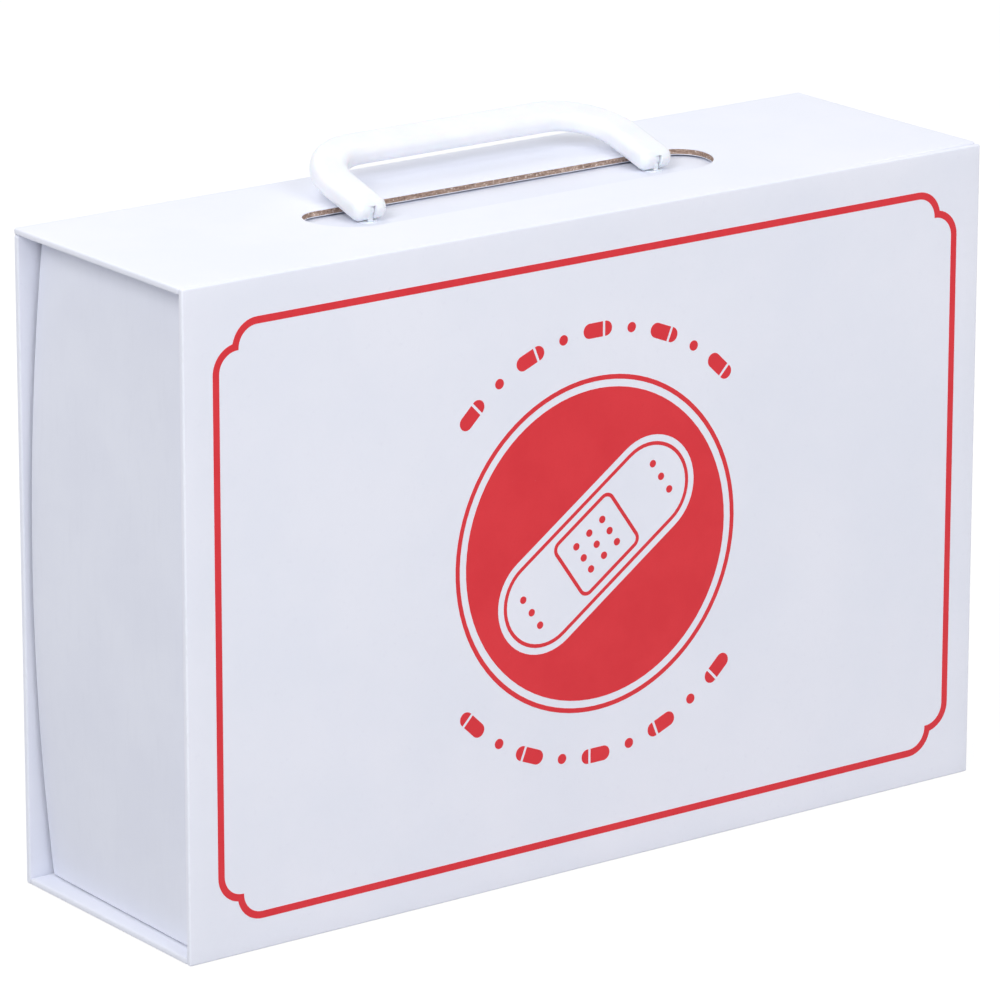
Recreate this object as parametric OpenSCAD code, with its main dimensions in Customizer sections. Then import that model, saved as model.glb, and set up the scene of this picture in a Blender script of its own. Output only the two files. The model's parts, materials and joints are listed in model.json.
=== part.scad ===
// Toy doctor case: a small carton built like a hard-cover book round a white card tray.
// It stands on its bottom board. Origin: middle of the base. +Z up, the printed front faces -Y.
// The front and bottom boards hold the tray. The back board is the lid and turns on the fold at the
// bottom back edge. The top board is the flap and turns on the fold at the lid's top edge. A window
// in the flap drops over the carry handle and keeps the case shut.

/* [Case] */
// Width from left to right
case_w = 280; // [240:1:320]
// Depth from the printed front to the back
case_d = 84; // [76:1:100]
// Height of the closed case without the handle
case_h = 193; // [170:1:220]

/* [Boards and paper] */
// Thickness of the greyboard
board_t = 1.5; // [1.4:0.1:2]
// Thickness of the covering paper
paper_t = 0.25; // [0.15:0.05:0.3]
// Thickness of the lining paper
lining_t = 0.2; // [0.1:0.05:0.3]
// Radius of a papered board edge
edge_r = 0.6; // [0.5:0.05:1.1]
// Width of the covering paper that is turned in over a board edge
turn_in = 12; // [8:1:18]
// Gap between two boards at a folding edge
fold_gap = 0.15; // [0.1:0.05:0.4]
// Gap between the flap's free edge and the front board
flap_gap = 0.35; // [0.3:0.05:1]

/* [Window in the flap] */
// Length of the window
window_l = 140; // [132:1:160]
// Distance of the window's near edge from the front of the case
window_near = 27; // [25:0.1:29]
// Distance of the window's far edge from the front of the case
window_far = 50.6; // [50:0.1:52]
// Distance of the window's two tips from the front of the case
window_mid = 41.8; // [41:0.1:43]

/* [Tray] */
// Thickness of a doubled tray wall
wall_t = 2.2; // [1.6:0.1:2.6]
// Thickness of the tray's base
base_t = 1.5; // [1:0.1:2]
// Distance of a side wall from the case's side at the front
recess_front = 5; // [4:0.1:7]
// Distance of a side wall's free edge from the case's side at the corners
recess_corner = 6.6; // [6:0.1:10]
// Distance of a side wall's free edge from the case's side at half height
recess_middle = 1.2; // [1:0.1:6]
// Gap between the tray's free edges and the lid
lid_gap = 1.2; // [0.6:0.1:3]
// Gap between the tray and the bottom lining
floor_gap = 0.5; // [0.3:0.1:1]
// Gap between the tray's top wall and the flap
flap_room = 0.75; // [0.7:0.05:1]
// Length and thickness of the glue tabs in the tray's corners
tab = [14, 0.4]; // [0.2:0.1:20]
// Distances of a glue tab from the tray's base and from its free edge
tab_in = [2, 6]; // [1:0.5:12]

/* [Handle] */
// Distance between the two legs
leg_pitch = 101; // [96:1:106]
// Width of the handle's section, in the plane of the handle
grip_w = 11; // [9:0.5:12]
// Thickness of the handle's section
grip_t = 6.4; // [6:0.1:6.6]
// Corner radius of the handle's section
grip_r = 2.6; // [1.5:0.1:3]
// Reach from the pivot to the middle of the grip
reach = 31.5; // [29:0.5:33]
// Outer radius of the handle's two bends
bend_r = 23; // [16:1:26]
// Angle of the resting handle over the flap
lean = 16; // [16:0.5:20]
// Angle through which the handle swings up from rest
swing = 78; // [74:1:80]
// Distance of the pivot from the front of the case
pivot_from_front = 40.5; // [40:0.1:41]
// Height of the pivot above the top of the case
pivot_rise = 1; // [0.8:0.1:1.2]

/* [Handle anchors] */
// Thickness of the tongue between the lobes of a leg
tongue_t = 1.6; // [1.4:0.1:2.4]
// Gap between the tongue and each lobe
tongue_gap = 0.2; // [0.15:0.05:0.3]
// Radius of the trunnion that carries a lobe
trunnion_r = 1.2; // [1:0.1:1.4]
// Running gap round the trunnion
running_gap = 0.05; // [0.02:0.01:0.1]
// Radius of the stem through the tray's top wall
stem_r = 2.2; // [1.8:0.1:2.6]
// Outer radius and thickness of the lock washer
washer = [6, 1.2]; // [1:0.1:8]
// Length, width and thickness of the strip that spreads the handle's load
strip = [150, 24, 2]; // [1:1:200]

/* [Print] */
// Width of the border line
line_w = 2.1; // [1.5:0.1:3]
// Width of the thin lines in the badge
fine_line_w = 1.1; // [0.8:0.1:1.6]
// Distances from the case's left, bottom, right and top edges to the border
border_in = [9.6, 9.2, 8.5, 11.1]; // [8:0.1:14]
// Size of the notch in each corner of the border
notch = 6.4; // [5:0.1:7]
// Radius of the arcs beside a notch
notch_r = 8.2; // [7.5:0.1:9]
// Outer radius of the badge's ring
badge_r = 49.5; // [45:0.5:55]
// Width of the badge's ring
ring_w = 1.4; // [1:0.1:2]
// Distance from the ring's outer edge to the badge's disc
disc_in = 3.6; // [2.6:0.1:5]
// Length and width of the sticking plaster on the badge
plaster = [74, 27]; // [24:1:78]
// Angle of the sticking plaster
plaster_tilt = 35; // [0:5:90]
// Width of the plain margin round the sticking plaster
plaster_margin = 2; // [1:0.1:3]
// Length and width of the plaster's pad
pad = [25, 21]; // [20:0.5:26]
// Corner radius of the pad
pad_r = 3; // [2:0.1:5]
// Spacing of the dots on the pad
dot_step = [5.6, 4.6]; // [4:0.1:6]
// Radius of a dot
dot_r = 1.1; // [0.8:0.1:1.4]
// Distance of the outer dots from the plaster's ends
end_dots_in = 9; // [7:0.5:11]
// Spacing of the outer dots
end_dot_step = 5.2; // [4:0.1:6]
// Radius of the two rows of pills and dots
row_r = 63; // [58:1:66]
// Angle from one pill or dot to the next
row_step = 11; // [10:0.5:12]
// Length and width of a pill
pill = [10, 4.4]; // [3:0.1:11]
// Width of the gap in a pill, and its distance from the pill's middle
pill_gap = [0.8, 2.2]; // [0.6:0.1:3]
// Radius of a dot between two pills
row_dot_r = 1.5; // [1:0.1:2]
// Thickness of the ink
ink_t = 0.05; // [0.03:0.01:0.1]

/* [Hidden] */
$fn = 64;
badge_fn = 128;
eps = 0.01;
core_gap = 0.1;
panel_t = paper_t + board_t + lining_t;
front_in = -case_d / 2 + panel_t;
back_in = case_d / 2 - panel_t;
bottom_l = back_in - fold_gap - front_in;
lid_h = case_h - panel_t - fold_gap;
flap_l = case_d - panel_t - flap_gap;
tray_y0 = front_in + base_t;
tray_y1 = back_in - lid_gap;
tray_z0 = panel_t + floor_gap;
tray_z1 = case_h - panel_t - flap_room;
rim_r = wall_t / 2;
wall_steps = 24;
rim_steps = 8;
pivot_y = pivot_from_front - case_d / 2;
pivot_z = case_h + pivot_rise;
bend_c = bend_r - grip_w / 2;
slot_w = tongue_t + 2 * tongue_gap;
bore_r = trunnion_r + running_gap;
bore_depth = 2.5;
trunnion_l = 2.3;
tongue_r = 2.2;
neck_r = 1.6;
flange = [2.9, 0.3];
barb = [2.7, 1.7, 1.4];
hole_r = stem_r + running_gap;
washer_z = tray_z1 - wall_t - strip[2] - washer[1];
paper_white = [0.93, 0.935, 0.96];
card_white = [0.9, 0.905, 0.93];
plastic_white = [0.97, 0.975, 0.98];
greyboard = [0.62, 0.54, 0.45];
print_red = [0.83, 0.15, 0.16];

// Shared shapes

// A rectangle with round corners, middle at the origin
module round_rect(a, b, r) {
    square([a - 2 * r, b], center = true);
    square([a, b - 2 * r], center = true);
    for (i = [-1, 1], j = [-1, 1]) translate([i * (a / 2 - r), j * (b / 2 - r)]) circle(r);
}

// A bar with fully round ends
module round_bar(l, w) {
    square([l - w, w], center = true);
    for (i = [-1, 1]) translate([i * (l - w) / 2, 0]) circle(w / 2);
}

// An upright slab with all its edges rounded: w along X, h along Z, its outer face at -Y
module slab(w, h, t, r) {
    intersection() {
        linear_extrude(h, center = true) round_rect(w, t, r);
        rotate([0, 90, 0]) linear_extrude(w, center = true) round_rect(h, t, r);
    }
}

// The stiff core of a panel
module core(w, h) {
    translate([0, paper_t - panel_t / 2 + board_t / 2, 0])
        slab(w - 2 * paper_t, h - 2 * paper_t, board_t, edge_r - paper_t + core_gap);
}

// The covering paper of a panel: over the outer face, round the edges and turned in behind
module cover(w, h) {
    difference() {
        slab(w, h, panel_t, edge_r);
        translate([0, paper_t - panel_t / 2 + board_t / 2, 0])
            slab(w - 2 * paper_t, h - 2 * paper_t, board_t, edge_r - paper_t);
        translate([0, panel_t / 2, 0])
            cube([w - 2 * turn_in, 2 * lining_t, h - 2 * turn_in], center = true);
    }
}

// The lining paper between the turned-in edges of a panel
module lining(w, h) {
    translate([0, (panel_t - lining_t) / 2, 0])
        cube([w - 2 * turn_in, lining_t, h - 2 * turn_in], center = true);
}

// Places of the four panels
module at_front() {
    translate([0, (panel_t - case_d) / 2, case_h / 2]) children();
}

module at_bottom() {
    translate([0, front_in + bottom_l / 2, panel_t / 2]) rotate([90, 0, 0]) children();
}

module at_back() {
    translate([0, (case_d - panel_t) / 2, lid_h / 2]) rotate([0, 0, 180]) children();
}

module at_top() {
    translate([0, (case_d - flap_l) / 2, case_h - panel_t / 2]) rotate([-90, 0, 0]) children();
}

// Half of a round-ended bar of the window's length, on the side where y has the sign of r
module half_window(r) {
    translate([0, window_mid - case_d / 2, case_h - 2 * panel_t]) linear_extrude(3 * panel_t)
        intersection() {
            round_bar(window_l, 2 * abs(r));
            translate([0, r]) square([2 * window_l, 2 * abs(r)], center = true);
        }
}

// The window through the flap: its near edge bows further out than its far edge
module window() {
    half_window(window_near - window_mid);
    half_window(window_far - window_mid);
}

// Boards

module front_board() {
    color(greyboard) at_front() core(case_w, case_h);
}

module bottom_board() {
    color(greyboard) at_bottom() core(case_w, bottom_l);
}

module back_board() {
    color(greyboard) at_back() core(case_w, lid_h);
}

module top_board() {
    color(greyboard) difference() {
        at_top() core(case_w, flap_l);
        window();
    }
}

// Covering paper, one sheet in life, split where the boards fold

module front_wrap() {
    color(paper_white) at_front() cover(case_w, case_h);
}

module bottom_wrap() {
    color(paper_white) at_bottom() cover(case_w, bottom_l);
}

module back_wrap() {
    color(paper_white) at_back() cover(case_w, lid_h);
}

module top_wrap() {
    color(paper_white) difference() {
        at_top() cover(case_w, flap_l);
        window();
    }
}

// Lining paper on the inner faces

module bottom_lining() {
    color(card_white) at_bottom() lining(case_w, bottom_l);
}

module back_lining() {
    color(card_white) at_back() lining(case_w, lid_h);
}

module top_lining() {
    color(card_white) difference() {
        at_top() lining(case_w, flap_l);
        window();
    }
}

// Print on the front

// The outline of the border, d inside its outer edge: two round rectangles that cross leave a
// pointed notch in each corner
module border_shape(d) {
    w = case_w - border_in[0] - border_in[2];
    h = case_h - border_in[1] - border_in[3];
    translate([border_in[0] - border_in[2], border_in[1] - border_in[3]] / 2) {
        round_rect(w - 2 * d, h - 2 * notch - 2 * d, notch_r - d);
        round_rect(w - 2 * notch - 2 * d, h - 2 * d, notch_r - d);
    }
}

// A row of five pills with four dots between them, on an arc over the badge
module pill_row() {
    for (i = [-4:4]) rotate(i * row_step) translate([0, row_r]) {
        if (i % 2 == 0) difference() {
            round_bar(pill[0], pill[1]);
            translate([pill_gap[1], 0]) square([pill_gap[0], 2 * pill[1]], center = true);
        }
        else circle(row_dot_r);
    }
}

// The outline of a round bar, drawn as a line
module bar_line(l, w) {
    difference() {
        round_bar(l, w);
        round_bar(l - 2 * fine_line_w, w - 2 * fine_line_w);
    }
}

// A round badge with a sticking plaster across it
module badge() {
    disc_r = badge_r - disc_in;
    difference() {
        circle(badge_r, $fn = badge_fn);
        circle(badge_r - ring_w, $fn = badge_fn);
    }
    difference() {
        circle(disc_r, $fn = badge_fn);
        rotate(plaster_tilt)
            round_bar(plaster[0] + 2 * plaster_margin, plaster[1] + 2 * plaster_margin);
    }
    rotate(plaster_tilt) {
        bar_line(plaster[0], plaster[1]);
        difference() {
            round_rect(pad[0], pad[1], pad_r);
            round_rect(pad[0] - 2 * fine_line_w, pad[1] - 2 * fine_line_w, pad_r - fine_line_w);
        }
        for (i = [-1:1], j = [-1:1]) translate([i * dot_step[0], j * dot_step[1]]) circle(dot_r);
        for (i = [-1, 1], j = [-1:1])
            translate([i * (plaster[0] / 2 - end_dots_in), j * end_dot_step]) circle(dot_r);
    }
}

module front_print() {
    color(print_red) translate([0, -case_d / 2, case_h / 2]) rotate([90, 0, 0]) linear_extrude(ink_t) {
        difference() {
            border_shape(0);
            border_shape(line_w);
        }
        badge();
        pill_row();
        rotate(180) pill_row();
    }
}

// Tray

// Recess of a side wall's outer face: s runs 0 to 1 from the base to the free edge, t runs -1 to 1
// from the bottom to the top. The free edge bows outwards between its corners.
function recess(s, t) =
    recess_front + s * (recess_middle + (recess_corner - recess_middle) * t * t - recess_front);

// Section of a side wall as [depth, distance inwards], with its free edge folded round
wall_profile = concat(
    [[tray_y0, 0]],
    [for (i = [0:rim_steps]) let (a = -90 + 180 * i / rim_steps)
        [tray_y1 - rim_r + rim_r * cos(a), rim_r + rim_r * sin(a)]],
    [[tray_y0, wall_t]]
);

module side_wall() {
    n = len(wall_profile);
    z_mid = (tray_z0 + tray_z1) / 2;
    z_half = (tray_z1 - tray_z0) / 2;
    points = [for (k = [0:wall_steps], p = wall_profile)
        let (t = 2 * k / wall_steps - 1, s = (p[0] - tray_y0) / (tray_y1 - tray_y0))
        [recess(s, t) + p[1] - case_w / 2, p[0], z_mid + t * z_half]];
    sides = [for (k = [0:wall_steps - 1], i = [0:n - 1]) let (a = k * n + i, b = k * n + (i + 1) % n)
        each [[a, a + n, b], [b, a + n, b + n]]];
    caps = concat([[for (i = [0:n - 1]) i]], [[for (i = [n - 1:-1:0]) wall_steps * n + i]]);
    polyhedron(points, concat(sides, caps));
}

// The top or bottom wall of the tray, lying flat, its underside at z = 0
module level_wall() {
    near = case_w / 2 - recess_front - wall_t - eps;
    far = case_w / 2 - recess_corner - wall_t - eps;
    y1 = tray_y1 - rim_r;
    linear_extrude(wall_t) polygon([[-near, tray_y0], [near, tray_y0], [far, y1], [-far, y1]]);
    translate([-far, y1, rim_r]) rotate([0, 90, 0]) cylinder(r = rim_r, h = 2 * far);
}

module tray_base() {
    color(card_white) translate([recess_front - case_w / 2, front_in, tray_z0])
        cube([case_w - 2 * recess_front, base_t, tray_z1 - tray_z0]);
}

module tray_left_wall() {
    color(card_white) side_wall();
}

module tray_right_wall() {
    color(card_white) mirror([1, 0, 0]) side_wall();
}

module tray_top_wall() {
    color(card_white) difference() {
        translate([0, 0, tray_z1 - wall_t]) level_wall();
        anchor_holes();
    }
}

module tray_bottom_wall() {
    color(card_white) translate([0, 0, tray_z0]) level_wall();
}

// Tabs of the side walls, glued behind the top and bottom walls
module tray_corner_tabs() {
    x = case_w / 2 - recess_corner - wall_t - tab[0];
    tab_w = tray_y1 - tray_y0 - tab_in[0] - tab_in[1];
    color(card_white) for (i = [0, 1], z = [tray_z0 + wall_t, tray_z1 - wall_t - tab[1]])
        mirror([i, 0, 0]) translate([x, tray_y0 + tab_in[0], z]) cube([tab[0], tab_w, tab[1]]);
}

// Handle and what holds it

// Holes for the two stems, through the tray's top wall and the strip under it
module anchor_holes() {
    z = washer_z - washer[1];
    for (i = [-1, 1]) translate([i * leg_pitch / 2, pivot_y, z])
        cylinder(r = hole_r, h = tray_z1 - z + washer[1]);
}

module handle_strip() {
    color(greyboard) difference() {
        translate([-strip[0] / 2, pivot_y - strip[1] / 2, tray_z1 - wall_t - strip[2]]) cube(strip);
        anchor_holes();
    }
}

// One anchor: a tongue with two trunnions over the tray wall, a flange on it, and a stem that ends
// in a barb inside
module anchor() {
    translate([0, pivot_y, pivot_z]) rotate([0, 90, 0]) {
        cylinder(r = tongue_r, h = tongue_t, center = true);
        cylinder(r = trunnion_r, h = tongue_t + 2 * trunnion_l, center = true);
    }
    translate([-tongue_t / 2, pivot_y - neck_r, tray_z1])
        cube([tongue_t, 2 * neck_r, pivot_z - tray_z1]);
    translate([0, pivot_y, tray_z1]) cylinder(r = flange[0], h = flange[1]);
    translate([0, pivot_y, washer_z]) cylinder(r = stem_r, h = tray_z1 - washer_z);
    translate([0, pivot_y, washer_z - barb[2]]) cylinder(r1 = barb[1], r2 = barb[0], h = barb[2]);
}

module left_anchor() {
    color(plastic_white) translate([-leg_pitch / 2, 0, 0]) anchor();
}

module right_anchor() {
    color(plastic_white) translate([leg_pitch / 2, 0, 0]) anchor();
}

// A push-on washer that the barb holds against the strip
module lock_washer() {
    difference() {
        translate([0, pivot_y, washer_z]) cylinder(r = washer[0], h = washer[1]);
        translate([0, pivot_y, washer_z - washer[1]]) cylinder(r = hole_r, h = 3 * washer[1]);
    }
}

module left_lock_washer() {
    color(plastic_white) translate([-leg_pitch / 2, 0, 0]) lock_washer();
}

module right_lock_washer() {
    color(plastic_white) translate([leg_pitch / 2, 0, 0]) lock_washer();
}

// The round end of a leg: the leg's section turned half round the pivot
module leg_end() {
    rotate([180, 90, 0]) rotate_extrude(angle = 180) intersection() {
        round_rect(grip_t, grip_w, grip_r);
        translate([0, -grip_w]) square([grip_t, 2 * grip_w]);
    }
}

// The slot for the tongue: a closed pocket for its head, open only where its neck passes while the
// handle swings, from the resting handle's underside to the end of the leg
module tongue_slot() {
    side = neck_r + tongue_gap;
    far = 2 * grip_t;
    a = -90 - lean;
    b = a - swing;
    m = (a + b) / 2;
    near_side = [-sin(a), cos(a)] * side;
    far_side = [sin(b), -cos(b)] * side;
    rotate([0, 90, 0]) cylinder(r = tongue_r + tongue_gap, h = slot_w, center = true);
    rotate([90, 0, 90]) linear_extrude(slot_w, center = true) polygon([
        near_side, near_side + far * [cos(a), sin(a)], 2 * far * [cos(m), sin(m)],
        far_side + far * [cos(b), sin(b)], far_side
    ]);
}

// Half of the handle, lying flat with its pivot on the X axis and its grip towards +Y
module half_handle() {
    leg_l = reach - bend_c;
    difference() {
        union() {
            translate([leg_pitch / 2, 0, 0]) leg_end();
            translate([leg_pitch / 2, 0, 0])
                rotate([-90, 0, 0]) linear_extrude(leg_l) round_rect(grip_w, grip_t, grip_r);
            translate([leg_pitch / 2 - bend_c, leg_l, 0])
                rotate_extrude(angle = 90) translate([bend_c, 0]) round_rect(grip_w, grip_t, grip_r);
            translate([0, reach, 0]) rotate([90, 0, 90])
                linear_extrude(leg_pitch / 2 - bend_c) round_rect(grip_w, grip_t, grip_r);
        }
        translate([leg_pitch / 2, 0, 0]) {
            tongue_slot();
            rotate([0, 90, 0]) cylinder(r = bore_r, h = slot_w + 2 * bore_depth, center = true);
        }
    }
}

module handle() {
    color(plastic_white) translate([0, pivot_y, pivot_z]) rotate([lean, 0, 0]) {
        half_handle();
        mirror([1, 0, 0]) half_handle();
    }
}

front_board();
bottom_board();
back_board();
top_board();
front_wrap();
bottom_wrap();
back_wrap();
top_wrap();
bottom_lining();
back_lining();
top_lining();
front_print();
tray_base();
tray_left_wall();
tray_right_wall();
tray_top_wall();
tray_bottom_wall();
tray_corner_tabs();
handle_strip();
left_anchor();
right_anchor();
left_lock_washer();
right_lock_washer();
handle();
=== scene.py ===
"""A toy doctor's case: four paper-covered boards folded round a white card tray, with a handle.

The case stands on its bottom board, at the origin, with its printed front towards -Y. Everything
is in metres, and MM turns the case's own sizes, which are in millimetres, into them.
"""

import json
import math

import bmesh
import bpy
from mathutils import Matrix, Vector

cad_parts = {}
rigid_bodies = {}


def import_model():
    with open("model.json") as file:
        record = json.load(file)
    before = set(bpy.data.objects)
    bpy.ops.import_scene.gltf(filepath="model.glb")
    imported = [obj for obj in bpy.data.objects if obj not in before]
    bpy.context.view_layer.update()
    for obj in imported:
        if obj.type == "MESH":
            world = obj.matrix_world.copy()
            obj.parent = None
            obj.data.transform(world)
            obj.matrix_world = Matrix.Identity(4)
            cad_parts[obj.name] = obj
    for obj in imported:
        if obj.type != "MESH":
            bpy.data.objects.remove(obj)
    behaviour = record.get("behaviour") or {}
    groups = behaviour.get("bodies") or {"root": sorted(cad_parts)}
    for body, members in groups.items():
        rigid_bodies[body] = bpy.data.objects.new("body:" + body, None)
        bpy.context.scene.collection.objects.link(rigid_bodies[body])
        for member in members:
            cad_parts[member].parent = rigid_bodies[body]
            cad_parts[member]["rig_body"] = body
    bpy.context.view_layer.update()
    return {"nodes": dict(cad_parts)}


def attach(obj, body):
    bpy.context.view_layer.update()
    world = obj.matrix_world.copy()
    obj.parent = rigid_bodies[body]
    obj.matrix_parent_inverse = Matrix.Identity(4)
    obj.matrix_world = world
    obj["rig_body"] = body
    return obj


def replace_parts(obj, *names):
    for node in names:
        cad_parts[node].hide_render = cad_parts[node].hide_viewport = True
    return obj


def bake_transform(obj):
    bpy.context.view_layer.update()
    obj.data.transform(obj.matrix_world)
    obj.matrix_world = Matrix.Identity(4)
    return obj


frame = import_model()
nodes = frame["nodes"]

# Camera
# A long lens stands far off to the left of the front and a little above the case, as it does in the
# photograph. The case lies right of and below the lens's axis, so the picture is shifted.
MM = 0.001
CASE_W, CASE_D, CASE_H = 280 * MM, 84 * MM, 193 * MM
camera_turn, camera_lift, camera_roll = (math.radians(a) for a in (35.581, 15.808, -0.184))
camera_side, camera_up, camera_back = -31.27 * MM, 31.65 * MM, 1872.9 * MM

back = Vector((
    -math.sin(camera_turn) * math.cos(camera_lift),
    -math.cos(camera_turn) * math.cos(camera_lift),
    math.sin(camera_lift),
))
level = Vector((0, 0, 1)).cross(back).normalized()
upright = back.cross(level)
right = level * math.cos(camera_roll) + upright * math.sin(camera_roll)
up = upright * math.cos(camera_roll) - level * math.sin(camera_roll)
stand = Vector((0, 0, CASE_H / 2)) + right * camera_side + up * camera_up + back * camera_back

camera = bpy.data.objects.new("camera", bpy.data.cameras.new("camera"))
camera.data.sensor_width = 36
camera.data.lens = 233.66
camera.data.shift_x = 0.1
camera.data.shift_y = -0.1
camera.data.clip_end = 50
camera.matrix_world = Matrix((
    (right.x, up.x, back.x, stand.x),
    (right.y, up.y, back.y, stand.y),
    (right.z, up.z, back.z, stand.z),
    (0, 0, 0, 1),
))
bpy.context.scene.collection.objects.link(camera)
bpy.context.scene.camera = camera
bpy.context.scene.view_settings.view_transform = "Standard"


# Covering paper of the front board
# A sheet of coated white paper is glued over grey board, pulled round its edges and turned in
# behind. The coating is smooth and half matt, and rubs a little along the edges.
class Shade:
    """One socket of a finish. Arithmetic on it adds Math nodes, and node() adds any other node."""

    def __init__(self, socket):
        self.socket = socket

    def node(self, kind, settings=None, values=None, output=0):
        tree = self.socket.id_data
        made = tree.nodes.new(kind)
        for key, value in (settings or {}).items():
            if key == "stops":
                while len(made.color_ramp.elements) < len(value):
                    made.color_ramp.elements.new(0.5)
                for element, (position, colour) in zip(made.color_ramp.elements, value):
                    element.position = position
                    element.color = colour
            else:
                setattr(made, key, value)
        for key, value in (values or {}).items():
            if isinstance(value, Shade):
                tree.links.new(value.socket, made.inputs[key])
            else:
                made.inputs[key].default_value = value
        return Shade(made.outputs[output]) if made.outputs else made

    def math(self, operation, first, second):
        return self.node("ShaderNodeMath", {"operation": operation}, {0: first, 1: second})

    def __add__(self, other):
        return self.math("ADD", self, other)

    def __radd__(self, other):
        return self.math("ADD", other, self)

    def __sub__(self, other):
        return self.math("SUBTRACT", self, other)

    def __rsub__(self, other):
        return self.math("SUBTRACT", other, self)

    def __mul__(self, other):
        return self.math("MULTIPLY", self, other)

    def __rmul__(self, other):
        return self.math("MULTIPLY", other, self)

    def rise(self, low, high):
        """0 up to low, 1 from high, and smooth between them."""
        return self.node(
            "ShaderNodeMapRange", {"interpolation_type": "SMOOTHSTEP"},
            {"Value": self, "From Min": low, "From Max": high},
        )

    def stretch(self, x, y, z):
        return self.node("ShaderNodeMapping", {}, {"Vector": self, "Scale": (x, y, z)})

    def mottle(self, scale, detail=3.0, roughness=0.5):
        """Noise of that many spots to a metre, from 0 to 1."""
        return self.node(
            "ShaderNodeTexNoise", {},
            {"Vector": self, "Scale": scale, "Detail": detail, "Roughness": roughness},
        )

    def tint(self, plain, other):
        """The plain colour where this is 0, and the other where it is 1. The Mix node's sockets
        share their names, so they go by number: 0 is the factor, 6 and 7 are the colours."""
        return self.node(
            "ShaderNodeMix", {"data_type": "RGBA"}, {0: self, 6: plain, 7: other}, output=2
        )


def start_finish(name):
    """A new material, as its Object coordinates and the call that closes it."""
    material = bpy.data.materials.new(name)
    material.use_nodes = True
    material.node_tree.nodes.clear()
    here = Shade(material.node_tree.nodes.new("ShaderNodeTexCoord").outputs["Object"])

    def close(colour, roughness, height, depth, steady):
        """The height, from 0 to 1, is a bump of that depth. The steady values don't vary."""
        normal = here.node("ShaderNodeBump", {}, {"Distance": depth, "Height": height})
        surface = here.node(
            "ShaderNodeBsdfPrincipled", {},
            {"Base Color": colour, "Roughness": roughness, "Normal": normal, **steady},
        )
        here.node("ShaderNodeOutputMaterial", {}, {"Surface": surface})
        return material

    return here, close


def seen(red, green, blue):
    """A colour as a screen shows it, 0 to 255, as the light that it stands for."""
    shares = [c / 255 for c in (red, green, blue)]
    return (*(s / 12.92 if s <= 0.04045 else ((s + 0.055) / 1.055) ** 2.4 for s in shares), 1.0)


here, close = start_finish("coated_paper")
cloud = here.mottle(22, 4, 0.55)
fibre = here.stretch(1, 1.6, 0.7).mottle(900, 4, 0.6)
rubbed = here.node("ShaderNodeAttribute", {"attribute_name": "rub"}, output="Fac")
scuff = rubbed * here.mottle(260, 5, 0.65).rise(0.5, 0.66)
paper_tone = cloud.rise(0.3, 0.7).tint(seen(238, 241, 252), seen(242, 244, 254))
paper_tone = (fibre.rise(0.58, 0.8) * 0.5).tint(paper_tone, seen(233, 235, 247))
coated_paper = close(
    (scuff * 0.45).tint(paper_tone, seen(214, 214, 220)),
    0.43 + 0.1 * (cloud - 0.5) + 0.07 * (fibre - 0.5) + 0.2 * scuff,
    fibre * 0.25 + here.mottle(330, 2) * 0.5 + here.mottle(60, 2) * 1.2 + scuff * 0.5,
    0.00008,
    {"Specular IOR Level": 0.4},
)

PAPER = 0.25 * MM  # covering paper
PANEL = 1.95 * MM  # board with its paper and lining
EDGE_ROUND = 0.6 * MM  # round of a papered edge
EDGE_STEPS = 6
RUBBED = 0.9 * EDGE_ROUND  # how far from an edge the coating is rubbed
TURN_IN = 12 * MM  # paper turned in behind a board
CELL = 5 * MM  # size of a board's faces
SHARP = math.radians(40)  # a turn that isn't shaded smooth
NEAR = 1e-6  # closer than this counts as the same place


def slab(low, high, edge_round):
    """A board's form as a bmesh: round edges, and its two broad sides cut into cells."""
    low, high = Vector(low), Vector(high)
    size, middle = high - low, (high + low) / 2
    thin = min(range(3), key=lambda axis: size[axis])
    form = bmesh.new()
    bmesh.ops.create_cube(form, size=1)
    bmesh.ops.scale(form, vec=size, verts=form.verts)
    bmesh.ops.translate(form, vec=middle, verts=form.verts)
    bmesh.ops.bevel(
        form, geom=form.edges[:], offset=edge_round, segments=EDGE_STEPS, profile=0.5,
        affect="EDGES", material=-1,
    )
    for axis in range(3):
        if axis == thin:
            continue
        count = max(2, round(size[axis] / CELL))
        for step in range(1, count):
            cut_across(form, form.faces, axis, low[axis] + size[axis] * step / count)
    return form


def cut_across(form, faces, axis, place):
    """Cuts those faces where they cross a plane."""
    normal = Vector((0, 0, 0))
    normal[axis] = 1
    parts = list(faces)
    parts += list({e for f in faces for e in f.edges}) + list({v for f in faces for v in f.verts})
    bmesh.ops.bisect_plane(
        form, geom=parts, dist=NEAR / 10, plane_co=normal * place, plane_no=normal
    )


def smooth_over(mesh):
    """Shades the mesh smooth except at its sharp edges."""
    mesh.polygons.foreach_set("use_smooth", [True] * len(mesh.polygons))
    mesh.set_sharp_from_angle(angle=SHARP)


def finish_piece(name, form, material):
    """The bmesh as an object."""
    mesh = bpy.data.meshes.new(name)
    form.to_mesh(mesh)
    form.free()
    mesh.materials.append(material)
    smooth_over(mesh)
    piece = bpy.data.objects.new(name, mesh)
    bpy.context.scene.collection.objects.link(piece)
    return piece


def settle(piece):
    """Makes the piece's modifiers part of its mesh."""
    ready = bpy.context.evaluated_depsgraph_get()
    ready.update()
    mesh = bpy.data.meshes.new_from_object(
        piece.evaluated_get(ready), preserve_all_data_layers=True, depsgraph=ready
    )
    piece.modifiers.clear()
    piece.data = mesh
    smooth_over(mesh)
    return piece


def thicken(piece, thickness):
    """Gives the outer face of a sheet its thickness, inwards."""
    wall = piece.modifiers.new("paper", "SOLIDIFY")
    wall.thickness = thickness
    wall.offset = -1
    return settle(piece)


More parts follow.
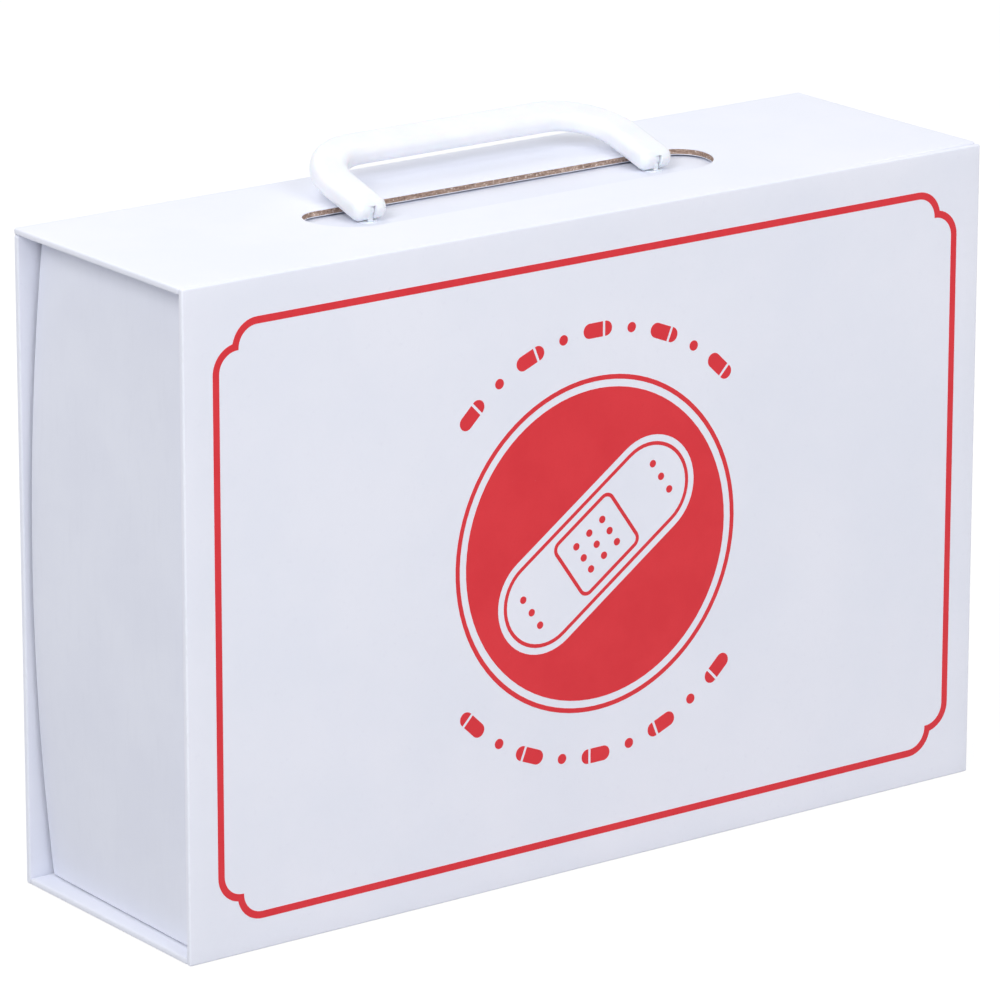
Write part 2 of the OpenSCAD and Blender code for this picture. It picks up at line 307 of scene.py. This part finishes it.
def cover(name, low, high, inside, shift=None):
    """Covering paper of a board between two corners, open over its middle on the inside, which is
    an axis and a sign. shift tells how far a point of the outer face moves."""
    axis, sign = inside
    low, high = Vector(low), Vector(high)
    form = slab(low, high, EDGE_ROUND)
    inner = high[axis] if sign > 0 else low[axis]
    flat = [a for a in range(3) if a != axis]

    def on_inside():
        return [f for f in form.faces if abs(f.calc_center_median()[axis] - inner) < NEAR]

    for a in flat:
        for place in (low[a] + TURN_IN, high[a] - TURN_IN):
            cut_across(form, on_inside(), a, place)
    middle = [
        f for f in on_inside()
        if all(low[a] + TURN_IN < f.calc_center_median()[a] < high[a] - TURN_IN for a in flat)
    ]
    bmesh.ops.delete(form, geom=middle, context="FACES")
    rub = form.verts.layers.float.new("rub")
    for vert in form.verts:
        inset = sorted(min(vert.co[a] - low[a], high[a] - vert.co[a]) for a in range(3))
        vert[rub] = max(0.0, 1 - (inset[0] + inset[1]) / RUBBED)
        if shift:
            vert.co += shift(vert.co)
    return thicken(finish_piece(name, form, coated_paper), PAPER)


front_cover = cover(
    "front_cover",
    (-CASE_W / 2, -CASE_D / 2, 0), (CASE_W / 2, PANEL - CASE_D / 2, CASE_H), inside=(1, 1),
)
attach(front_cover, "case")
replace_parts(front_cover, "front_wrap")

# Boards of the front, the bottom and the lid, and the strip under the handle
# Each is a plate of grey board made from waste paper, 1.5 mm thick, or 2 mm for the strip. Only the
# flap's board shows, in its window, where it is brown, with plies and flecks of old print.
here, close = start_finish("grey_board")
ply = here.stretch(0.25, 1, 1).mottle(1900, 4, 0.65)
speck = here.mottle(1500, 2, 0.5)
felt = here.mottle(160, 3, 0.6)
board_tone = felt.rise(0.3, 0.7).tint(seen(176, 150, 134), seen(192, 168, 153))
board_tone = ply.rise(0.35, 0.7).tint(seen(140, 115, 101), board_tone)
board_tone = (speck.rise(0.56, 0.68) * 0.8).tint(board_tone, seen(104, 88, 82))
grey_board = close(
    (speck.rise(0.42, 0.3) * 0.8).tint(board_tone, seen(232, 218, 208)),
    0.86 + 0.1 * (ply - 0.5),
    ply * 0.8 + speck * 0.5 + felt * 0.3,
    0.00012,
    {"Specular IOR Level": 0.25},
)


def dress(node, material):
    """A CAD node keeps its form and takes a finish."""
    nodes[node].data.materials.clear()
    nodes[node].data.materials.append(material)


for board in ("front_board", "bottom_board", "back_board", "handle_strip"):
    dress(board, grey_board)

# Covering paper of the bottom and the lid
# The same sheet runs on under the case and up its back, and each board has its own part of it here.
# Its outer face lies a hair inside the case's size, so that the folds can lie over it.
SKIN_IN = 0.04 * MM
PANEL_INSIDE = CASE_D / 2 - PANEL
HINGE_GAP = 0.15 * MM  # between two boards at a fold

bottom_cover = cover(
    "bottom_cover",
    (-CASE_W / 2, -PANEL_INSIDE, SKIN_IN), (CASE_W / 2, PANEL_INSIDE - HINGE_GAP, PANEL),
    inside=(2, 1),
)
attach(bottom_cover, "case")
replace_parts(bottom_cover, "bottom_wrap")

back_cover = cover(
    "back_cover",
    (-CASE_W / 2, PANEL_INSIDE, 0),
    (CASE_W / 2, CASE_D / 2 - SKIN_IN, CASE_H - PANEL - HINGE_GAP),
    inside=(1, -1),
)
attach(back_cover, "lid")
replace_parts(back_cover, "back_wrap")

# Flap
# The top board swings from the lid on the paper fold at its back edge, and its long window, cut
# through all its layers, drops over the handle. The brown core shows there. The free edge has
# sagged a little in the middle, and lifts off the front board at the right end.
WINDOW_LONG, WINDOW_NEAR, WINDOW_TIPS, WINDOW_FAR = 140 * MM, 27 * MM, 41.8 * MM, 50.6 * MM
CIRCLE_STEPS = 96
KNIFE_UNDER, KNIFE_DEEP = 6 * MM, 12 * MM
FLAP_GAP = 0.35 * MM  # between the flap's free edge and the front board
LINING = 0.2 * MM
flap_front, flap_under = PANEL + FLAP_GAP - CASE_D / 2, CASE_H - PANEL

# The free edge drops in the middle, reaches forward on the left and lifts at the right end. Where
# that starts and fades is a share of half the width.
SAG_DROP, SAG_REACH, SAG_LIFT = 0.4 * MM, 0.24 * MM, 0.5 * MM
LIFT_START, REACH_START, REACH_FADE = 0.6, 0.25, 0.5
SAG_FLAT = 4 * MM  # beside either edge


def clamp(share):
    return max(0.0, min(1.0, share))


def sag(point):
    """How the flap has moved out of its flat, straight form."""
    free = clamp((CASE_D / 2 - SAG_FLAT - point.y) / (CASE_D - 2 * SAG_FLAT))
    across = point.x / (CASE_W / 2)
    lift = SAG_LIFT * max(0.0, across - LIFT_START) / (1 - LIFT_START)
    drop = SAG_DROP * (1 - across * across)
    reach = SAG_REACH * (1 - clamp((across - REACH_START) / REACH_FADE))
    return Vector((0, -reach * free * free, (lift - drop) * free ** 1.5))


def cut_window(piece):
    """Cuts the window through a piece of the flap. Its near edge lies further from the line of its
    tips than its far edge does."""
    bar = bmesh.new()
    bmesh.ops.create_circle(bar, cap_ends=True, segments=CIRCLE_STEPS, radius=1)
    for vert in bar.verts:
        radius = WINDOW_FAR - WINDOW_TIPS if vert.co.y > 0 else WINDOW_TIPS - WINDOW_NEAR
        vert.co.x = vert.co.x * radius + math.copysign(WINDOW_LONG / 2 - radius, vert.co.x)
        vert.co.y = vert.co.y * radius + WINDOW_TIPS - CASE_D / 2
        vert.co.z = CASE_H - KNIFE_UNDER
    deeper = bmesh.ops.extrude_face_region(bar, geom=bar.faces[:])
    top = [part for part in deeper["geom"] if isinstance(part, bmesh.types.BMVert)]
    bmesh.ops.translate(bar, vec=(0, 0, KNIFE_DEEP), verts=top)
    bmesh.ops.recalc_face_normals(bar, faces=bar.faces)
    knife = finish_piece("window_knife", bar, grey_board)
    cut = piece.modifiers.new("window", "BOOLEAN")
    cut.operation = "DIFFERENCE"
    cut.solver = "EXACT"
    cut.object = knife
    settle(piece)
    bpy.data.objects.remove(knife)
    return piece


flap_cover = cut_window(cover(
    "flap_cover",
    (-CASE_W / 2, flap_front, flap_under), (CASE_W / 2, CASE_D / 2, CASE_H - SKIN_IN),
    inside=(2, -1), shift=sag,
))
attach(flap_cover, "flap")
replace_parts(flap_cover, "top_wrap")


def flap_layer(name, low, high, edge_round, material):
    """A flat layer of the flap between two corners, sagged and cut like its cover."""
    form = slab(low, high, edge_round)
    for vert in form.verts:
        vert.co += sag(vert.co)
    return cut_window(finish_piece(name, form, material))


# The board's edge is a little rounder than the cover's, which keeps its corners inside.
BOARD_ROUND = 0.65 * MM
flap_board = flap_layer(
    "flap_board",
    (PAPER - CASE_W / 2, flap_front + PAPER, flap_under + LINING),
    (CASE_W / 2 - PAPER, CASE_D / 2 - PAPER, CASE_H - PAPER - SKIN_IN),
    BOARD_ROUND, grey_board,
)
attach(flap_board, "flap")
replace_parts(flap_board, "top_board")

# Lining paper
# A sheet of plain white paper is glued inside the turned-in edges of the bottom, the lid and the
# flap. It isn't coated, so it is duller and has more tooth than the cover.
here, close = start_finish("lining_paper")
tooth = here.mottle(1300, 4, 0.6)
look_through = here.mottle(85, 3, 0.6)
lining_tone = look_through.rise(0.3, 0.72).tint(seen(229, 231, 241), seen(234, 236, 246))
lining_paper = close(
    (tooth.rise(0.55, 0.75) * 0.4).tint(lining_tone, seen(214, 215, 224)),
    0.74 + 0.08 * (tooth - 0.5),
    tooth * 0.6 + look_through * 0.5,
    0.00007,
    {"Specular IOR Level": 0.3},
)
for lining in ("bottom_lining", "back_lining"):
    dress(lining, lining_paper)

LINING_ROUND = 0.03 * MM
flap_lining = flap_layer(
    "flap_lining",
    (TURN_IN - CASE_W / 2, flap_front + TURN_IN, flap_under),
    (CASE_W / 2 - TURN_IN, CASE_D / 2 - TURN_IN, flap_under + LINING),
    LINING_ROUND, lining_paper,
)
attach(flap_lining, "flap")
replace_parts(flap_lining, "top_lining")

# Paper folds
# Between two boards the covering paper is the hinge. One fold lies along the bottom back edge, one
# along the top back edge, and a third, glued down, runs under the front edge.
FOLD_REACH = 8 * MM
FOLD_LONG = CASE_W - 2 * EDGE_ROUND
FOLD_PAPER = 0.2 * MM
FOLD_SINK = 0.06 * MM  # how far the strip's ends dip into the covers
LONG_STEPS, FLAT_STEPS, CORNER_STEPS = 40, 4, 8


def fold(name, line):
    """A strip of the covering paper along X, whose outer face follows a line of (y, z) points."""
    form = bmesh.new()
    points = [form.verts.new((-FOLD_LONG / 2, y, z)) for y, z in line]
    edges = [form.edges.new(pair) for pair in zip(points, points[1:])]
    for _ in range(LONG_STEPS):
        grown = bmesh.ops.extrude_edge_only(form, edges=edges)["geom"]
        edges = [part for part in grown if isinstance(part, bmesh.types.BMEdge)]
        moved = [part for part in grown if isinstance(part, bmesh.types.BMVert)]
        bmesh.ops.translate(form, vec=(FOLD_LONG / LONG_STEPS, 0, 0), verts=moved)
    bmesh.ops.recalc_face_normals(form, faces=form.faces)
    form.faces.ensure_lookup_table()
    outwards = Vector((0, line[0][0] / CASE_D, line[0][1] / CASE_H - 0.5))
    if form.faces[0].normal.dot(outwards) < 0:
        bmesh.ops.reverse_faces(form, faces=form.faces)
    piece = thicken(finish_piece(name, form, coated_paper), FOLD_PAPER)
    return piece


def round_corner(corner, first, second, reach):
    """The line of a fold: from reach along first, round a corner, to reach along second. Both ends
    dip into the covers, so that they don't show."""
    corner, first, second = Vector(corner), Vector(first), Vector(second)
    centre = corner + (first + second) * EDGE_ROUND
    flat = []
    for k in range(FLAT_STEPS + 1):
        share = k / FLAT_STEPS
        flat.append((EDGE_ROUND + share * (reach - EDGE_ROUND), FOLD_SINK * max(0, 2 * share - 1)))
    line = [corner + first * along + second * sunk for along, sunk in flat[:0:-1]]
    for k in range(CORNER_STEPS + 1):
        angle = math.radians(90 * k / CORNER_STEPS)
        line.append(
            centre - second * EDGE_ROUND * math.cos(angle) - first * EDGE_ROUND * math.sin(angle)
        )
    line += [corner + second * along + first * sunk for along, sunk in flat[1:]]
    return [(point.x, point.y) for point in line]


base_fold = fold("base_fold", round_corner((CASE_D / 2, 0), (-1, 0), (0, 1), FOLD_REACH))
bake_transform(base_fold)
top_fold = fold("top_fold", round_corner((CASE_D / 2, CASE_H), (0, -1), (-1, 0), FOLD_REACH))
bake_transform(top_fold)
front_fold = fold("front_fold", [
    (EDGE_ROUND - CASE_D / 2 + k * FOLD_REACH / FLAT_STEPS, 0) for k in range(FLAT_STEPS + 1)
])
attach(front_fold, "case")

# Print on the front
# One colour of red ink is printed on the sheet before it is glued: a notched border, a badge with a
# sticking plaster, and rows of pills. The ink is thin, and the paper's grain shows through it.
here, close = start_finish("red_ink")
grain = here.mottle(1400, 4, 0.6)
ink_cloud = here.mottle(48, 3, 0.6)
ink_tone = ink_cloud.rise(0.3, 0.7).tint(seen(221, 38, 50), seen(226, 46, 56))
ink_tone = (grain.rise(0.56, 0.76) * 0.5).tint(ink_tone, seen(216, 36, 48))
red_ink = close(
    (grain.rise(0.3, 0.2) * 0.6).tint(ink_tone, seen(228, 120, 124)),
    0.4 + 0.1 * (ink_cloud - 0.5) + 0.08 * (grain - 0.5),
    grain * 0.4 + here.mottle(330, 2) * 0.5,
    0.00006,
    {"Specular IOR Level": 0.4},
)
dress("front_print", red_ink)

# Tray
# Folded up from one sheet of white card and glued: a base behind the front board and four walls,
# each doubled over, so that its free edge is a soft round fold. The side walls have bowed outwards
# between their corners, and almost reach the edge of the lid half way up.
here, close = start_finish("tray_card")
card_cloud = here.mottle(30, 4, 0.55)
card_grain = here.stretch(1, 1, 0.15).mottle(520, 4, 0.6)
pick = here.mottle(1200, 3, 0.6)
card_tone = card_cloud.rise(0.3, 0.7).tint(seen(232, 235, 247), seen(236, 239, 250))
card_tone = (card_grain.rise(0.5, 0.75) * 0.25).tint(card_tone, seen(227, 230, 242))
tray_card = close(
    card_tone,
    0.5 + 0.1 * (card_cloud - 0.5) + 0.06 * (pick - 0.5),
    card_grain * 0.15 + pick * 0.2 + here.mottle(75, 2) * 1.2,
    0.00008,
    {"Specular IOR Level": 0.35},
)
for part in ("tray_base", "tray_top_wall", "tray_bottom_wall", "tray_corner_tabs"):
    dress(part, tray_card)

WALL = 2.2 * MM
TRAY_FRONT, TRAY_BACK = -38.55 * MM, 38.85 * MM
TRAY_FOOT, TRAY_HEAD = 2.45 * MM, 190.3 * MM
# From the case's side to the wall: at the front, and at its free edge in a corner and half way up
RECESS_FRONT, RECESS_CORNER, RECESS_MIDDLE = 5 * MM, 6.6 * MM, 1.2 * MM
ROLL_LONG, ROLL_IN = 4.5 * MM, 0.5 * MM  # how the free edge rolls inwards
DEPTH_STEPS, HEIGHT_STEPS, RIM_ANGLE = 16, 48, 18


def side_wall(name, side):
    """A bowed side wall of the tray: side is -1 on the left and 1 on the right."""
    form = bmesh.new()
    rim = WALL / 2
    depth = TRAY_BACK - rim - TRAY_FRONT
    line = [(TRAY_FRONT + k * depth / DEPTH_STEPS, 0) for k in range(DEPTH_STEPS + 1)]
    for degrees in range(RIM_ANGLE, 181, RIM_ANGLE):
        angle = math.radians(degrees)
        line.append((TRAY_BACK - rim + rim * math.sin(angle), rim - rim * math.cos(angle)))
    line += [(y, WALL) for y, _ in line[DEPTH_STEPS - 1::-1]]
    faces = [form.faces.new([form.verts.new((inwards, y, TRAY_FOOT)) for y, inwards in line])]
    for _ in range(HEIGHT_STEPS):
        grown = bmesh.ops.extrude_face_region(form, geom=faces)["geom"]
        faces = [part for part in grown if isinstance(part, bmesh.types.BMFace)]
        moved = [part for part in grown if isinstance(part, bmesh.types.BMVert)]
        bmesh.ops.translate(form, vec=(0, 0, (TRAY_HEAD - TRAY_FOOT) / HEIGHT_STEPS), verts=moved)
    inner = [
        f for f in form.faces
        if abs(f.normal.z) > 0.9 and TRAY_FOOT + NEAR < f.calc_center_median().z < TRAY_HEAD - NEAR
    ]
    bmesh.ops.delete(form, geom=inner, context="FACES_ONLY")
    for vert in form.verts:
        share = (vert.co.y - TRAY_FRONT) / (TRAY_BACK - TRAY_FRONT)
        height = 2 * (vert.co.z - TRAY_FOOT) / (TRAY_HEAD - TRAY_FOOT) - 1
        edge = RECESS_MIDDLE + (RECESS_CORNER - RECESS_MIDDLE) * height * height
        roll = max(0.0, (vert.co.y - TRAY_BACK + ROLL_LONG) / ROLL_LONG)
        recess = RECESS_FRONT + share * (edge - RECESS_FRONT) + ROLL_IN * roll * roll
        vert.co.x = side * (CASE_W / 2 - recess - vert.co.x)
    bmesh.ops.recalc_face_normals(form, faces=form.faces)
    wall = finish_piece(name, form, tray_card)
    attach(wall, "case")
    return wall


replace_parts(side_wall("left_side_wall", -1), "tray_left_wall")
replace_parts(side_wall("right_side_wall", 1), "tray_right_wall")

# Handle and its anchors
# Moulded in one piece of white plastic, satin all over.
# Each leg ends in two lobes that turn on the trunnions of an anchor pressed through the tray.
here, close = start_finish("white_plastic")
haze = here.mottle(75, 3, 0.6)
spark = here.mottle(1500, 3, 0.55)
plastic_tone = haze.rise(0.3, 0.72).tint(seen(241, 244, 251), seen(246, 248, 254))
white_plastic = close(
    plastic_tone,
    0.36 + 0.12 * (haze - 0.5) + 0.08 * (spark - 0.5),
    spark * 0.4 + here.mottle(200, 2) * 0.9,
    0.00006,
    {"Specular IOR Level": 0.5, "Subsurface Weight": 0.12, "Subsurface Scale": 0.004},
)


SAME_PLANE = math.radians(0.5)


def merged_copy(name, node):
    """The form of a CAD node with its loose triangles joined, so that its curves are smooth."""
    form = bmesh.new()
    form.from_mesh(nodes[node].data)
    bmesh.ops.remove_doubles(form, verts=form.verts, dist=NEAR)
    bmesh.ops.dissolve_limit(form, angle_limit=SAME_PLANE, verts=form.verts, edges=form.edges)
    piece = finish_piece(name, form, white_plastic)
    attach(piece, nodes[node]["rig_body"])
    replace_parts(piece, node)


merged_copy("carry_handle", "handle")
for part in ("left_anchor", "right_anchor", "left_lock_washer", "right_lock_washer"):
    merged_copy(part + "_moulding", part)

# Stage
# A pale floor under three large soft lights: the key high on the left, another at the front, and a
# fill behind. The floor shows almost white to the camera, and keeps a faint shadow of the case.
FLOOR_GLOW, GLOW_SHARE = 1.45, 0.6
FLOOR_RADIUS, FLOOR_DROP = 14, 0.06 * MM
SKY_LIGHT = 0.42  # the sky is this bright to surfaces, and 1 where it is seen
BOX_SIZE = 1.3

here = start_finish("floor_white")[0]
floor_white = bpy.data.materials["floor_white"]
to_camera = here.node("ShaderNodeLightPath", output="Is Camera Ray")
lit = here.node("ShaderNodeBsdfDiffuse", {}, {"Color": seen(184, 184, 187)})
glow = here.node("ShaderNodeEmission", {}, {"Color": (1, 1, 1, 1), "Strength": FLOOR_GLOW})
in_gloss = here.node("ShaderNodeLightPath", output="Is Glossy Ray")
through = here.node("ShaderNodeLightPath", output="Is Transmission Ray")
face = here.node(
    "ShaderNodeMixShader", {},
    {0: (to_camera + in_gloss + through) * GLOW_SHARE, 1: lit, 2: glow},
)
here.node("ShaderNodeOutputMaterial", {}, {"Surface": face})

form = bmesh.new()
bmesh.ops.create_circle(form, cap_ends=True, segments=CIRCLE_STEPS, radius=FLOOR_RADIUS)
bmesh.ops.translate(form, vec=(0, 0, -FLOOR_DROP), verts=form.verts)
floor = finish_piece("floor", form, floor_white)

world = bpy.data.worlds.new("studio")
bpy.context.scene.world = world
world.use_nodes = True
world.node_tree.nodes.clear()
to_camera = Shade(world.node_tree.nodes.new("ShaderNodeLightPath").outputs["Is Camera Ray"])
in_gloss = to_camera.node("ShaderNodeLightPath", output="Is Glossy Ray")
through = to_camera.node("ShaderNodeLightPath", output="Is Transmission Ray")
shown = to_camera + in_gloss + through
sky = to_camera.node(
    "ShaderNodeBackground", {},
    {"Color": (0.98, 0.985, 1.0, 1), "Strength": SKY_LIGHT + (1 - SKY_LIGHT) * shown},
)
to_camera.node("ShaderNodeOutputWorld", {}, {"Surface": sky})


def softbox(name, place, power):
    """A square light that faces the middle of the case."""
    lamp = bpy.data.lights.new(name, "AREA")
    lamp.size = BOX_SIZE
    lamp.energy = power
    fitting = bpy.data.objects.new(name, lamp)
    bpy.context.scene.collection.objects.link(fitting)
    aim = Vector((0, 0, CASE_H / 2)) - Vector(place)
    turn = aim.to_track_quat("-Z", "Y").to_matrix().to_4x4()
    fitting.matrix_world = Matrix.Translation(place) @ turn


softbox("left_key", (-1.9, -0.9, 1.9), 35)
softbox("front_key", (0.1, -2.2, 1.5), 22)
softbox("back_fill", (0.2, 1.5, 2.2), 14)
